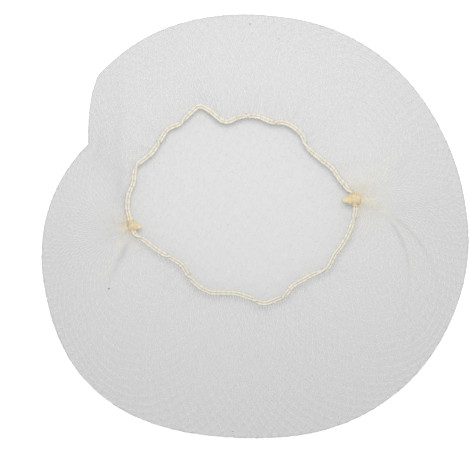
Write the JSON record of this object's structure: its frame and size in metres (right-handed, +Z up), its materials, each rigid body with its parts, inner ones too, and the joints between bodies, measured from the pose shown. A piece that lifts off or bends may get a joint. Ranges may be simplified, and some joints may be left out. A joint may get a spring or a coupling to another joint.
{
  "type": "hairnet",
  "caption": "Fine-mesh bag hairnet laid flat with its elastic-edged opening up, bound to the elastic by a knot at each end.",
  "frame": {"origin": "on the surface that the net lies on, under the middle of its outline", "axes": "+Z up, out of the opening; +X towards knot_right; +Y to the top of the picture"},
  "size_m": [0.3004, 0.2982, 0.0136],
  "materials": {
    "net": "fine, matt, translucent knitted mesh",
    "elastic": "covered elastic, two strands",
    "binding": "matt thread"
  },
  "bodies": {
    "root": {"net": "net", "elastic": "elastic", "knot_left": "binding", "knot_right": "binding"}
  },
  "joints": []
}
